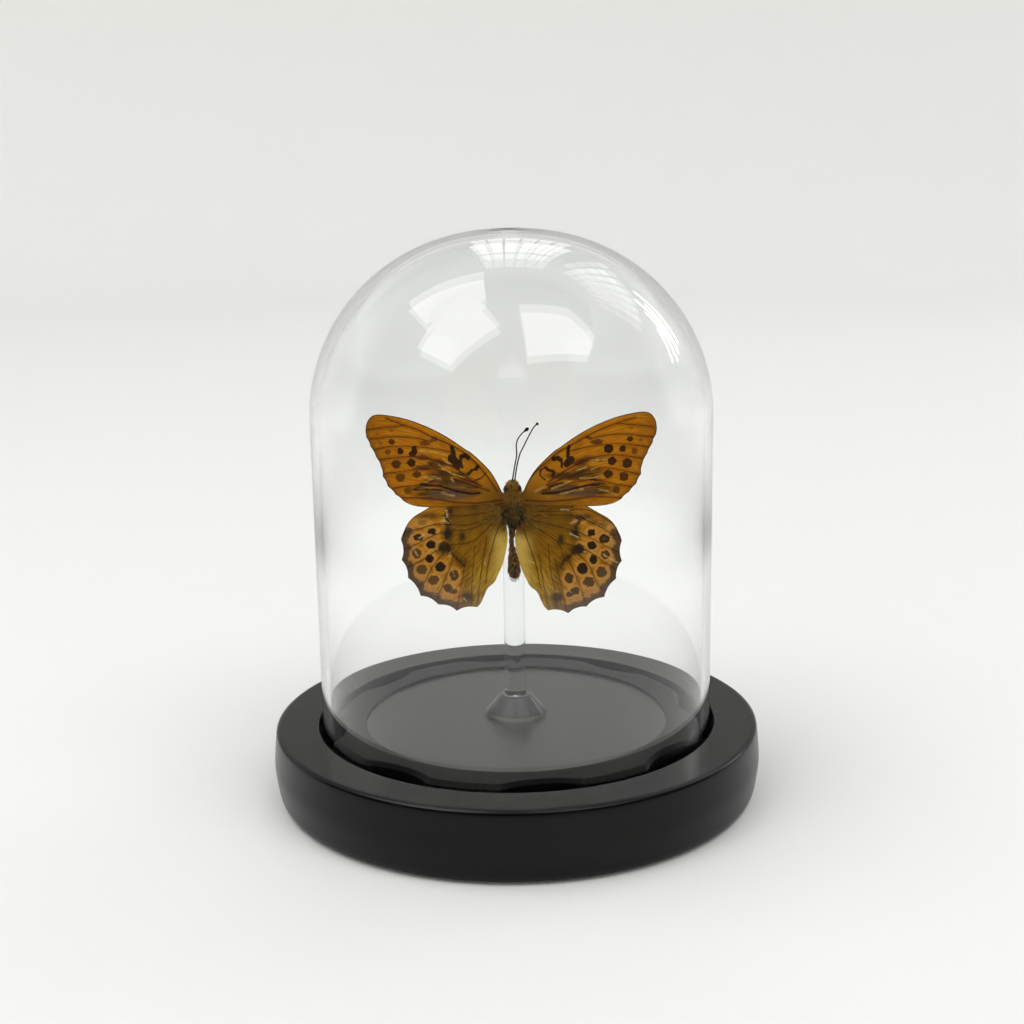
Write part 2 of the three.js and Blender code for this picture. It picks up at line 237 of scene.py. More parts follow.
LEFT_HINDWING = {
    "side": -1, "plane": HINDWING_Y, "set": (0.45, 0.5), "outline": HINDWING,
    "spots": [
        (22.4, -8.1, 1.15, 0.85, 1), (22.9, -12.1, 1.15, 1.2, 0.85), (21.8, -16.1, 1.3, 1.2, 0.8),
        (19.0, -18.9, 1.3, 1.2, 0.8), (15.7, -20.9, 1.1, 0.95, 0.85), (14.3, -21.9, 1.1, 0.6, 0.8),
        (19.1, -6.7, 1.1, 0.8, 1), (19.4, -10.0, 1.15, 1.05, 1), (19.8, -13.4, 1.0, 1.05, 1),
        (17.3, -15.6, 1.25, 1.2, 1), (14.0, -17.8, 1.05, 1.4, 0.85), (21.3, -4.5, 1.2, 0.6, 0.45),
        (16.2, -10.5, 1.4, 1.2, 0.9), (15.2, -7.2, 0.7, 1.3, 0.75), (11.8, -8.2, 0.45, 0.85, 0.7),
        (14.8, -1.9, 0.5, 0.8, 0.6), (15.4, -4.6, 0.8, 0.7, 0.6),
    ],
    "veins": [
        [(2.6, -1.9), (7.5, -2.7), (12.3, -3.1), (16.4, -2.9)],
        [(3.4, -3.2), (9.9, -5.3), (14.7, -5.1), (18.0, -5.0), (21.6, -5.8), (24.9, -6.7)],
        [(3.4, -3.6), (10.0, -6.4), (15.0, -6.6), (18.7, -7.7), (22.6, -9.6), (26.4, -11.0)],
        [(8.8, -9.0), (11.2, -9.9), (14.9, -10.2), (18.6, -11.8), (21.6, -13.7), (25.8, -15.8)],
        [(15.6, -11.5), (18.1, -14.0), (19.9, -16.7), (21.2, -19.2), (23.6, -20.7)],
        [(14.0, -12.6), (15.0, -15.8), (16.3, -18.9), (18.8, -24.6)],
        [(11.1, -13.4), (12.0, -18.6), (13.0, -23.0), (13.6, -26.4)],
        [(8.9, -10.5), (9.5, -16.7), (9.9, -21.5), (9.9, -25.4)],
        [(6.0, -8.5), (7.0, -14.1), (7.8, -19.3), (8.6, -25.2)], [(3.4, -4.2), (6.4, -7.0), (8.8, -9.0)],
        [(2.6, -5.0), (4.3, -9.5), (5.6, -14.5), (6.6, -20.5)],
    ],
    "bars": [
        (0.22, [(16.2, -10.6), (14.6, -12.2), (13.2, -13.8), (11.4, -15.6)]),
        (0.35, [(15.6, -2.6), (15.1, -5.2), (15.6, -8.4)]),
    ],
    "smudges": [
        (15.4, -7.4, 1.3, 2.2, 0.8), (14.9, -2.2, 1.0, 1.9, 0.6), (12.6, -14.6, 1.4, 1.4, 0.5),
        (11.0, -23.4, 1.6, 1.1, 0.8), (19.6, -3.0, 3.0, 0.9, 0.6), (16.2, -11.2, 1.9, 1.3, 0.9),
        (11.9, -8.4, 0.9, 1.3, 0.6),
    ],
    "bare": [
        [(15.5, -1.7), (15.3, -3.3)], [(14.8, -11.9), (14.9, -13.1)], [(21.0, -7.5), (22.2, -8.4)],
        [(23.4, -11.4), (22.7, -12.6)], [(14.2, -16.9), (14.1, -17.9)], [(17.7, -19.3), (18.1, -19.9)],
        [(11.9, -23.7), (11.1, -24.5)], [(17.9, -11.0), (18.6, -12.0)], [(6.6, -14.3), (6.5, -15.4)],
        [(15.2, -4.7), (16.2, -4.2)],
    ],
}
RIGHT_HINDWING = {
    "side": 1, "plane": HINDWING_Y, "set": (-0.5, -0.6), "outline": HINDWING,
    "spots": [
        (22.4, -8.1, 1.25, 1.1, 1), (22.6, -12.1, 1.05, 1.05, 0.9), (21.7, -16.4, 1.3, 1.3, 0.85),
        (18.6, -18.9, 1.35, 1.35, 0.85), (15.3, -21.1, 1.1, 0.9, 0.9), (13.9, -22.0, 0.9, 0.6, 0.9),
        (19.3, -6.6, 0.95, 0.9, 1), (19.4, -9.7, 1.1, 1.05, 1), (19.7, -13.2, 0.95, 1.15, 1),
        (17.1, -15.5, 1.25, 1.4, 1), (13.8, -17.9, 1.05, 1.35, 0.9), (22.1, -4.9, 1.05, 0.65, 0.45),
        (16.2, -10.5, 1.35, 1.2, 0.9), (15.3, -6.8, 0.9, 0.6, 0.75), (11.9, -8.1, 0.45, 0.95, 0.75),
        (16.8, -3.1, 1.0, 0.6, 0.5),
    ],
    "veins": [
        [(4.6, -1.3), (11.6, -1.3), (16.5, -0.9), (20.2, -1.7), (24.6, -4.5)],
        [(3.6, -2.4), (9.5, -2.2), (14.8, -2.4), (19.4, -4.1), (25.0, -7.3)],
        [(3.4, -3.0), (9.5, -4.5), (15.4, -6.1), (19.3, -7.9), (22.5, -9.8), (26.2, -11.5)],
        [(11.0, -8.7), (15.8, -10.0), (19.0, -11.4), (21.9, -13.5), (25.4, -15.8)],
        [(15.6, -11.5), (18.2, -14.0), (19.7, -17.0), (20.8, -19.6), (23.2, -21.2)],
        [(13.4, -12.2), (14.9, -16.0), (16.4, -19.6), (17.9, -24.7)],
        [(10.5, -13.0), (11.5, -17.6), (12.4, -22.0), (13.1, -26.3)],
        [(6.6, -12.0), (7.3, -17.0), (8.0, -21.5), (9.0, -25.6)],
        [(3.2, -6.5), (4.6, -10.5), (6.0, -15.0), (6.9, -20.5)],
        [(3.4, -3.6), (6.4, -5.6), (11.0, -8.7), (12.4, -12.0)],
        [(8.9, -9.5), (9.4, -16.0), (10.4, -21.0), (10.9, -25.6)],
    ],
    "bars": [
        (0.24, [(16.0, -10.8), (14.5, -12.0), (12.8, -13.5), (11.8, -15.1)]),
        (0.28, [(16.6, -3.6), (15.6, -5.0), (15.4, -7.0)]),
    ],
    "smudges": [
        (16.9, -2.7, 3.2, 0.9, 0.7), (13.4, -13.0, 1.5, 1.3, 0.5), (11.9, -15.0, 1.3, 1.3, 0.45),
        (10.9, -22.8, 1.5, 1.1, 0.85), (15.6, -6.6, 1.3, 2.0, 0.8), (16.0, -11.0, 1.9, 1.2, 0.9),
        (21.0, -4.0, 2.4, 0.7, 0.5), (11.9, -8.4, 0.9, 1.3, 0.6),
    ],
    "bare": [
        [(14.4, -4.3), (15.6, -3.6)], [(14.2, -6.8), (16.0, -7.7)], [(22.2, -12.1), (25.5, -14.1)],
        [(4.3, -13.6), (5.4, -14.2)], [(17.8, -19.7), (18.1, -20.1)], [(12.0, -0.9), (13.8, -1.1)],
        [(17.6, -11.2), (18.4, -11.4)], [(10.4, -21.1), (10.8, -21.4)],
    ],
}

# Where the hindwing's olive inner part ends: height, then distance out
MEDIAN_HEIGHTS = (-27.0, -22.0, -17.5, -15.0, -12.5, -10.5, -8.0, -4.0, 0.0)
MEDIAN_REACH = (12.6, 12.2, 11.6, 12.6, 14.4, 16.0, 15.8, 15.2, 15.0)


# Materials


def ink(red, green, blue):
    """A colour given on the 0 to 255 scale, as linear light."""
    def linear(level):
        share = level / 255
        return share / 12.92 if share <= 0.04045 else ((share + 0.055) / 1.055) ** 2.4
    return (linear(red), linear(green), linear(blue), 1)


class Tap:
    """One output of a node. Arithmetic on it adds Math nodes."""

    def __init__(self, finish, socket):
        self.finish = finish
        self.socket = socket

    def __add__(self, other):
        return self.finish.maths("ADD", self, other)

    __radd__ = __add__

    def __sub__(self, other):
        return self.finish.maths("SUBTRACT", self, other)

    def __rsub__(self, other):
        return self.finish.maths("SUBTRACT", other, self)

    def __mul__(self, other):
        return self.finish.maths("MULTIPLY", self, other)

    __rmul__ = __mul__

    def __pow__(self, other):
        return self.finish.maths("POWER", self, other)

    def least(self, other):
        return self.finish.maths("MINIMUM", self, other)

    def most(self, other):
        return self.finish.maths("MAXIMUM", self, other)

    def rise(self, low, high):
        """0 below low, 1 above high and smooth between; falls where low is above high."""
        if low > high:
            return 1 - self.rise(high, low)
        return self.finish.add(
            "MapRange", {"Value": self, "From Min": low, "From Max": high},
            interpolation_type="SMOOTHSTEP",
        )


class Finish:
    """The nodes of a material or of the world."""

    def __init__(self, holder):
        holder.use_nodes = True
        self.holder = holder
        self.tree = holder.node_tree
        self.tree.nodes.clear()

    def add(self, kind, inputs=None, output=0, **settings):
        node = self.tree.nodes.new("ShaderNode" + kind)
        for key, value in settings.items():
            setattr(node, key, value)
        for key, value in (inputs or {}).items():
            if isinstance(value, Tap):
                self.tree.links.new(value.socket, node.inputs[key])
            else:
                node.inputs[key].default_value = value
        return Tap(self, node.outputs[output]) if node.outputs else None

    def maths(self, operation, first, second):
        return self.add("Math", {0: first, 1: second}, operation=operation)

    def blend(self, share, first, second):
        """Mixes two colours, each one a tap or a red, green and blue from 0 to 255."""
        first, second = [
            colour if isinstance(colour, Tap) else ink(*colour) for colour in (first, second)
        ]
        return self.add(
            "Mix", {0: share, 6: first, 7: second}, 2, data_type="RGBA", clamp_factor=True,
        )

    def layers(self, colour, *coats):
        """Lays coats (share, colour) over a colour, one after another."""
        for share, coat in coats:
            colour = self.blend(share, colour, coat)
        return colour

    def stored(self, name):
        return self.add("Attribute", output="Fac", attribute_name=name)

    def place(self):
        """Object coordinates in millimetres."""
        coordinates = self.add("TexCoord", output="Object")
        return self.add("VectorMath", {0: coordinates, "Scale": 1 / METRE}, operation="SCALE")

    def vector(self, x=0.0, y=0.0, z=0.0):
        return self.add("CombineXYZ", {"X": x, "Y": y, "Z": z})

    def drawn(self, vector, share):
        """A place whose height counts for less, so that a pattern is drawn out upwards."""
        return self.add("VectorMath", {0: vector, 1: (1, 1, share)}, operation="MULTIPLY")

    def axes(self, vector):
        node = self.add("SeparateXYZ", {0: vector}).socket.node
        return [Tap(self, socket) for socket in node.outputs]

    def bounces(self, kind):
        """How often the light was mirrored (Glossy), scattered (Diffuse) or let through."""
        return self.add("LightPath", output=kind + " Depth")

    def grain(self, where, scale, detail=3.0, roughness=0.55):
        return self.add(
            "TexNoise",
            {"Vector": where, "Scale": scale, "Detail": detail, "Roughness": roughness},
        )

    def surface(self, colour, roughness, specular=0.5, bump=None, more=None):
        """A surface; a bump is a height, a strength and a distance in millimetres."""
        inputs = {"Base Color": colour, "Roughness": roughness, "Specular IOR Level": specular}
        if bump:
            height, strength, distance = bump
            inputs["Normal"] = self.add(
                "Bump", {"Height": height, "Strength": strength, "Distance": distance * METRE},
            )
        shader = self.add("BsdfPrincipled", {**inputs, **(more or {})})
        self.add("OutputMaterial", {"Surface": shader})
        return self.holder


def begin(name):
    """A new material, and the place on the object in millimetres."""
    finish = Finish(bpy.data.materials.new(name))
    return finish, finish.place()


def lacquer():
    finish, place = begin("satin_black_lacquer")
    peel = finish.grain(place, 1.1, 2)
    pores = finish.grain(place, 5.0, 4)
    cloud = finish.grain(place, 0.09, 3)
    dust = finish.grain(place, 3.2, 1).rise(0.76, 0.83)
    colour = finish.layers(
        finish.blend(cloud.rise(0.3, 0.7), (5, 5, 5), (9, 9, 8)), (dust * 0.2, (120, 118, 112)),
    )
    roughness = 0.17 + 0.08 * cloud + 0.05 * pores
    return finish.surface(colour, roughness, 0.26, (peel + 0.3 * pores, 0.25, 0.02))


def board():
    finish, place = begin("black_grained_board")
    x, y, z = finish.axes(place)
    ring = (x * x + y * y) ** 0.5
    in_well = ring.rise(WELL_RADIUS + 0.1, WELL_RADIUS - 0.1)
    face = 1 - in_well
    fine = finish.grain(place, 4.5, 4)
    coarse = finish.grain(place, 1.3, 3)
    specks = finish.grain(place, 2.6, 2, 0.7).rise(0.6, 0.72)
    lint = finish.grain(place, 1.7, 1).rise(0.77, 0.84)
    # Painted shade: the board's bevel, outer side and scallop walls are painted near black for the dark
    # gap round the board's edge.
    edge_in_shade = z.rise(BOARD_TOP - 0.06, BOARD_TOP - 0.16) * face
    edge_in_shade *= ring.rise(BOARD_RADIUS - BEVEL + 0.1, BOARD_RADIUS - BEVEL - 0.1)
    colour = finish.layers(
        finish.blend(specks, (26, 26, 23), (78, 77, 68)),
        (in_well, finish.blend(coarse, (44, 44, 41), (52, 52, 49))),
        (lint * 0.25, (130, 126, 118)),
        # painted shade on the board's edge and scallop walls
        (edge_in_shade, (2, 2, 2)),
    )
    roughness = 0.5 - 0.2 * in_well + 0.14 * fine * face
    return finish.surface(colour, roughness, 0.4, ((fine + 0.6 * coarse) * face, 0.4, 0.06))


def dome_glass():
    finish, place = begin("clear_blown_glass")
    ripple = finish.grain(finish.drawn(place, 0.35), 0.045, 2)
    return finish.surface(
        (0.985, 0.99, 0.987, 1), 0.0, bump=(ripple, 0.02, 1.0),
        more={"IOR": 1.5, "Transmission Weight": 1.0},
    )


def acrylic(name, shine):
    finish, place = begin(name)
    lines = finish.grain(finish.drawn(place, 0.1), 0.5, 2)
    return finish.surface((0.975, 0.985, 0.985, 1), 0.03 * lines, more={
        "IOR": 1.49, "Specular Tint": (shine, shine, shine, 1), "Transmission Weight": 1.0,
    })


# Opaque black for the stand foot's bottom faces, which makes the foot's lower edge read dark through the
# clear acrylic.
def black_underside():
    finish, place = begin("black_underside")
    blotch = finish.grain(place, 0.8, 3)
    return finish.surface(
        finish.blend(blotch, (6, 6, 6), (22, 22, 20)), 0.7 + 0.2 * blotch, 0.1,
    )


# What every point of a wing's mesh stores: where it is, and how far it is from each marking
WING_FIELDS = (
    "along", "fan", "across", "up", "vein", "spot", "darkness", "bar", "bare", "smudge", "margin",
    "rim", "outer",
)


def wing_fields(name):
    """A new material, and the stored values and unevenness that a wing face is painted from."""
    finish = Finish(bpy.data.materials.new(name))
    field = SimpleNamespace(**{stored: finish.stored(stored) for stored in WING_FIELDS})
    where = finish.vector(field.across, field.up)
    field.rough = finish.grain(where, 1.3, 3) - 0.5
    field.scales = finish.grain(where, 7.0, 2)
    field.cloud = finish.grain(where, 0.22, 2)
    field.rays = finish.grain(finish.vector(field.along * 9.0, field.fan * 75.0), 1.0, 3)
    return finish, field


def wing_surface(finish, field, *coats):
    height = 0.6 * field.scales + 0.35 * field.rays + field.vein.rise(0.35, 0.0)
    roughness = 0.62 + 0.2 * field.scales
    return finish.surface(finish.layers(*coats), roughness, 0.1, (height, 0.6, 0.06))


def forewing_upper():
    finish, field = wing_fields("forewing_upper_scales")
    across, rays, rough, vein = field.across, field.rays, field.rough, field.vein
    inner = across.rise(25, 10)
    low = field.up.rise(7.0, 1.0)
    purple = low * across.rise(8, 12) * across.rise(22, 18)
    shade = (field.smudge * (0.35 + 2.2 * rays.rise(0.36, 0.6))).least(0.96)
    frayed = (field.bare + 2.2 * (rays - 0.5) + 0.7 * rough).rise(0.34, 0.04)
    torn = frayed * rays.rise(0.34, 0.5) * field.scales.rise(0.3, 0.5).most(0.55)
    spot = (field.spot + 0.9 * rough).rise(0.14, -0.12) * field.darkness
    faded = (field.spot + rough).rise(-0.3, -0.8)
    bar = (field.bar + 0.45 * rough).rise(0.1, -0.08)
    edge = (field.rim + 0.25 * rough).rise(0.32, 0.14)
    return wing_surface(
        finish, field, finish.blend(inner, (216, 130, 3), (196, 120, 4)),
        (rays.rise(0.5, 0.64) * 0.6, (238, 176, 38)),
        (rays.rise(0.46, 0.34) * 0.45, (150, 82, 6)),
        (across.rise(27, 34) * 0.4, (186, 104, 8)),
        (inner * low * 0.6, (128, 92, 20)),
        (across.rise(9, 2) * low.most(0.35), (122, 84, 16)),
        (field.cloud.rise(0.52, 0.75) * 0.35, (158, 88, 10)),
        (shade, finish.blend(purple, (66, 50, 16), (102, 82, 66))),
        (vein.rise(0.8, 0.1) * 0.3, (122, 54, 8)),
        (vein.rise(0.2, 0.07) * 0.9, (74, 30, 8)),
        (torn * 0.85, (240, 196, 100)),
        (spot, (46, 24, 6)),
        (faded * 0.3, (104, 66, 28)),
        (bar * 0.97, (34, 18, 10)),
        (field.margin.rise(1.4, 0.1) * 0.4, (130, 76, 20)),
        (edge * 0.9, (50, 34, 20)),
        (field.scales.rise(0.42, 0.66) * 0.25, (132, 76, 10)),
    )


def hindwing_upper():
    finish, field = wing_fields("hindwing_upper_scales")
    across, up, rays, rough = field.across, field.up, field.rays, field.rough
    outer = (field.outer + 3.0 * rough + 3.0 * (rays - 0.5)).rise(-1.1, 1.1)
    low = up.rise(-10, -20) * across.rise(12.5, 8)
    olive = finish.layers(
        finish.blend(rays.rise(0.36, 0.62), (122, 80, 3), (176, 122, 12)),
        (low * 0.75, finish.blend(rays.rise(0.4, 0.6), (178, 128, 18), (240, 190, 62))),
        (across.rise(6.5, 2.2) * up.rise(-5.5, -9) * 0.85, (255, 214, 104)),
        (up.rise(-8, -4) * 0.5, (112, 78, 14)),
    )
    orange = finish.blend(rays.rise(0.42, 0.62), (200, 120, 12), (238, 172, 46))
    shade = (field.smudge * (0.5 + rays.rise(0.35, 0.6))).least(1.0)
    frayed_margin = field.margin + 2.2 * rough + 0.5 * field.vein.rise(0.2, 1.4)
    band = frayed_margin.rise(2.2, 1.6) * (0.35 + 0.65 * outer)
    spot = (field.spot + 1.1 * rough).rise(0.16, -0.1) * field.darkness
    faded = (field.spot + rough).rise(-0.25, -0.7) * across.rise(19.8, 21.5)
    bar = (field.bar + 0.9 * rough).rise(0.3, -0.15)
    frayed = (field.bare + 1.6 * (rays - 0.5) + 0.5 * rough).rise(0.28, 0.03)
    edge = (field.rim + 0.25 * rough).rise(0.3, 0.1)
    return wing_surface(
        finish, field, finish.blend(outer, olive, orange),
        (field.cloud.rise(0.5, 0.75) * 0.25, (124, 78, 10)),
        (field.vein.rise(0.9, 0.15) * outer * 0.35, (136, 76, 14)),
        (field.spot.rise(0.95, 0.4) * outer * 0.6, (246, 176, 80)),
        (shade, (64, 48, 18)),
        (field.margin.rise(3.1, 2.2) * outer * 0.6, (228, 162, 92)),
        (band * 0.92, (96, 74, 54)),
        (field.vein.rise(0.2, 0.07) * 0.8, (76, 42, 8)),
        (spot, (50, 32, 12)),
        (faded * 0.55, (112, 88, 60)),
        (bar * 0.85, (56, 38, 16)),
        (frayed * rays.rise(0.3, 0.5) * 0.85, (244, 216, 160)),
        (edge * outer * 0.8, (56, 42, 26)),
        (field.scales.rise(0.42, 0.66) * 0.22, (118, 80, 18)),
    )


def forewing_under():
    finish, field = wing_fields("forewing_under_scales")
    spot = (field.spot + 0.5 * field.rough).rise(0.1, -0.25) * field.darkness
    bar = (field.bar + 0.3 * field.rough).rise(0.1, -0.08)
    return wing_surface(
        finish, field, finish.blend(field.rays.rise(0.35, 0.7), (196, 138, 62), (214, 164, 92)),
        (field.across.rise(26, 32) * 0.7, (158, 146, 92)),
        (field.vein.rise(0.25, 0.08) * 0.6, (140, 92, 40)),
        (spot * 0.75, (70, 48, 30)),
        (bar * 0.6, (72, 50, 32)),
        (field.rim.rise(0.4, 0.1) * 0.6, (120, 96, 58)),
    )


def hindwing_under():
    finish, field = wing_fields("hindwing_under_scales")
    washed = field.outer + 3.0 * field.rough + 2.5 * (field.rays - 0.5)
    further = washed + 5.5
    silver = washed.rise(-1.8, -0.2) * washed.rise(1.6, 0.2)
    silver = silver.most(further.rise(-1.6, -0.2) * further.rise(1.6, 0.2))
    spot = (field.spot + 0.5 * field.rough).rise(0.1, -0.3) * field.darkness
    return wing_surface(
        finish, field, finish.blend(field.rays.rise(0.35, 0.7), (120, 122, 72), (150, 148, 96)),
        (silver * 0.6, (200, 202, 186)),
        (field.margin.rise(2.4, 1.2) * 0.5, (184, 172, 140)),
        (spot * 0.4, (96, 96, 60)),
        (field.vein.rise(0.25, 0.08) * 0.55, (150, 128, 74)),
        (field.rim.rise(0.35, 0.1) * 0.6, (122, 104, 72)),
    )


def body_scales():
    finish, place = begin("body_scales")
    height = finish.axes(place)[2]
    mottle = finish.grain(place, 1.6, 3)
    fine = finish.grain(place, 9.0, 2)
    patchy = mottle.rise(0.35, 0.65)
    colour = finish.blend(
        height.rise(BODY_Z - 3.0, BODY_Z - 7.0),
        finish.blend(patchy, (150, 112, 34), (84, 60, 28)),
        finish.blend(patchy, (132, 92, 44), (62, 42, 22)),
    )
    return finish.surface(colour, 0.66 + 0.2 * fine, 0.35, (fine + mottle, 0.8, 0.12))


def body_fur():
    finish, place = begin("body_fur")
    x, y, z = finish.axes(place)
    tuft = finish.grain(place, 1.1, 2)
    strand = finish.grain(finish.drawn(place, 0.35), 3.0, 2)
    low = (z + 4.0 * (tuft - 0.5)).rise(BODY_Z + 1.6, BODY_Z - 1.2)
    colour = finish.layers(
        finish.blend(strand.rise(0.35, 0.65), (150, 106, 10), (226, 172, 58)),
        (low, finish.blend(strand.rise(0.44, 0.56), (20, 13, 5), (150, 116, 58))),
        ((x * x).rise(5.5, 12.0), finish.blend(strand, (120, 86, 20), (196, 150, 60))),
    )
    return finish.surface(colour, 0.55 + 0.2 * strand, 0.4)


def eye_lens():
    finish, place = begin("compound_eye")
    facets = finish.add("TexVoronoi", {"Vector": place, "Scale": 9.0}, feature="F1")
    colour = finish.blend(finish.grain(place, 1.4, 2), (22, 14, 10), (62, 38, 20))
    return finish.surface(colour, 0.28 + 0.15 * facets, bump=(facets, 0.4, 0.04))


def dark_shell():
    finish, place = begin("antenna_and_leg_shell")
    rings = finish.add(
        "TexWave", {"Vector": place, "Scale": 0.55, "Distortion": 0.4},
        wave_type="BANDS", bands_direction="Z",
    )
    rough = finish.grain(place, 5.0, 2)
    club = finish.axes(place)[2].rise(BODY_Z + 17.0, BODY_Z + 18.5)
    colour = finish.blend(rings * (1 - club) * 0.5, (30, 22, 16), (82, 62, 36))
    return finish.surface(colour, 0.45 + 0.2 * rough, 0.15, (rings + rough, 0.4, 0.05))


# Shapes


def added(name, bm, materials):
    """Adds a mesh to the scene as an object, and uses it up."""
    mesh = bpy.data.meshes.new(name)
    bm.to_mesh(mesh)
    bm.free()
    for material in materials:
        mesh.materials.append(material)
    thing = bpy.data.objects.new(name, mesh)
    bpy.context.scene.collection.objects.link(thing)
    return thing


def finished(name, bm, materials, node="butterfly"):
    """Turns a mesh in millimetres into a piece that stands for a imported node."""
    bmesh.ops.scale(bm, vec=(METRE, METRE, METRE), verts=bm.verts)
    piece = added(name, bm, materials)
    piece.data.shade_smooth()
    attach(piece, "root")
    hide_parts(node)
    return piece


def curve_through(points, steps):
    """Points on a smooth curve that passes through the given ones."""
    points = [Vector(point) for point in points]
    ends = [2 * points[0] - points[1], *points, 2 * points[-1] - points[-2]]
    line = []
    for before, start, end, after in zip(ends, ends[1:], ends[2:], ends[3:]):
        for step in range(steps):
            t = step / steps
            line.append(0.5 * (
                2 * start + (end - before) * t
                + (2 * before - 5 * start + 4 * end - after) * t ** 2
                + (3 * start - before - 3 * end + after) * t ** 3
            ))
    return [tuple(point) for point in line] + [tuple(points[-1])]


def rounded(corners, steps=5):
    """A profile whose corners (radius, height, rounding) become arcs, with flats held flat."""
    line = []
    for before, corner, after in zip(corners, corners[1:], corners[2:]):
        point = Vector(corner[:2])
        rounding = corner[2]
        if not rounding:
            line.append(tuple(point))
            continue
        back = (Vector(before[:2]) - point).normalized()
        on = (Vector(after[:2]) - point).normalized()
        half = back.angle(on) / 2
        reach = rounding / math.tan(half)
        centre = point + (back + on).normalized() * rounding / math.sin(half)
        line.append(tuple(point + back * reach * 1.3))
        start = point + back * reach - centre
        turn = start.angle_signed(point + on * reach - centre)
        for step in range(steps + 1):
            arm = start.copy()
            arm.rotate(Matrix.Rotation(-turn * step / steps, 2))
            line.append(tuple(centre + arm))
        line.append(tuple(point + on * reach * 1.3))
    return [tuple(corners[0][:2]), *line, tuple(corners[-1][:2])]


def turned(profile, steps, centre=(0, 0)):
    """Spins a profile of (radius, height) points round an upright axis."""
    bm = bmesh.new()
    verts = [bm.verts.new((radius, 0, height)) for radius, height in profile]
    edges = [bm.edges.new(pair) for pair in zip(verts, verts[1:])]
    bmesh.ops.spin(
        bm, geom=verts + edges, cent=(0, 0, 0), axis=(0, 0, 1), angle=2 * math.pi, steps=steps,
        use_merge=True,
    )
    bmesh.ops.remove_doubles(bm, verts=bm.verts, dist=1e-4)
    bmesh.ops.recalc_face_normals(bm, faces=bm.faces)
    bmesh.ops.translate(bm, vec=(*centre, 0), verts=bm.verts)
    return bm


def make_base():
    side = curve_through([
        (54.4, 0), (57.6, 0.6), (58.9, 1.8), (59.5, 4.6), (BASE_RADIUS, 8.8), (59.8, 12.6),
        (59.4, 16.6), (59.0, 17.4), (58.3, RIM_TOP),
    ], 5)
    seat = rounded([
        (57.6, RIM_TOP, 0), (SEAT_RADIUS, RIM_TOP, 0.35), (SEAT_RADIUS, SEAT_FLOOR, 0.3),
        (0, SEAT_FLOOR, 0),
    ])
    profile = [(0, 0), (53.6, 0), *side, (58.0, RIM_TOP), *seat]
    finished("base", turned(profile, BASE_STEPS), [lacquer()], "base")


def board_edge(angle):
    """Distance from the middle of the board to its scalloped edge."""
    bite = BOARD_RADIUS - SCALLOP_BITE + SCALLOP_RADIUS
    pitch = 2 * math.pi / SCALLOPS
    off = (angle - SCALLOP_TURN + pitch / 2) % pitch - pitch / 2
    side = bite * math.sin(off)
    if abs(side) >= SCALLOP_RADIUS:
        return BOARD_RADIUS
    return min(BOARD_RADIUS, bite * math.cos(off) - math.sqrt(SCALLOP_RADIUS ** 2 - side ** 2))


def make_board():
    bottom = board_low[2]
    profile = rounded([
        (0, bottom, 0), (BOARD_RADIUS, bottom, 0.3), (BOARD_RADIUS, BOARD_TOP - 1.0, 0.25),
        (BOARD_RADIUS - BEVEL, BOARD_TOP, 0.15),
        (WELL_RADIUS, BOARD_TOP, 0.12), (WELL_RADIUS, WELL_FLOOR, 0.1), (0, WELL_FLOOR, 0),
    ])
    bm = turned(profile, BOARD_STEPS)
    fixed = WELL_RADIUS + 0.5
    for vert in bm.verts:
        ring = math.hypot(vert.co.x, vert.co.y)
        if ring > fixed:
            edge = board_edge(math.atan2(vert.co.x, -vert.co.y))
            share = (fixed + (ring - fixed) * (edge - fixed) / (BOARD_RADIUS - fixed)) / ring
            vert.co.x *= share
            vert.co.y *= share
    finished("inlay_board", bm, [board()], "inlay_disc")


def dome_line(radius, shoulder, top, foot, dimple):
    """One wall of the dome, from its foot up to the middle of the crown."""
    line = [(radius, foot + (shoulder - foot) * step / 12) for step in range(12)]
    crown_steps = 72
    for step in range(crown_steps + 1):
        angle = step / crown_steps * math.pi / 2
        ring = radius * max(math.cos(angle), 0) ** CROWN_FULLNESS[0]
        height = shoulder + (top - shoulder) * math.sin(angle) ** CROWN_FULLNESS[1]
        height -= dimple * math.exp(-(ring / SEAL_RADIUS) ** 2)
        line.append((ring, height))
    line[-1] = (0, line[-1][1])
    return line


def make_dome():
    lip = GLASS_FOOT + GLASS_WALL / 2
    inner = dome_line(
        GLASS_RADIUS - GLASS_WALL, GLASS_INNER_SHOULDER, GLASS_TOP - GLASS_CROWN, lip, 0,
    )
    outer = dome_line(GLASS_RADIUS, GLASS_SHOULDER, GLASS_TOP, lip, SEAL_DEPTH)
    fire_polished = [
        (
            GLASS_RADIUS - GLASS_WALL / 2 - GLASS_WALL / 2 * math.cos(math.pi * step / 8),
            lip - GLASS_WALL / 2 * math.sin(math.pi * step / 8),
        )
        for step in range(1, 8)
    ]
    bm = turned([*inner[::-1], *fire_polished, *outer], DOME_STEPS)
    finished("glass_dome", bm, [dome_glass()], "glass_dome")


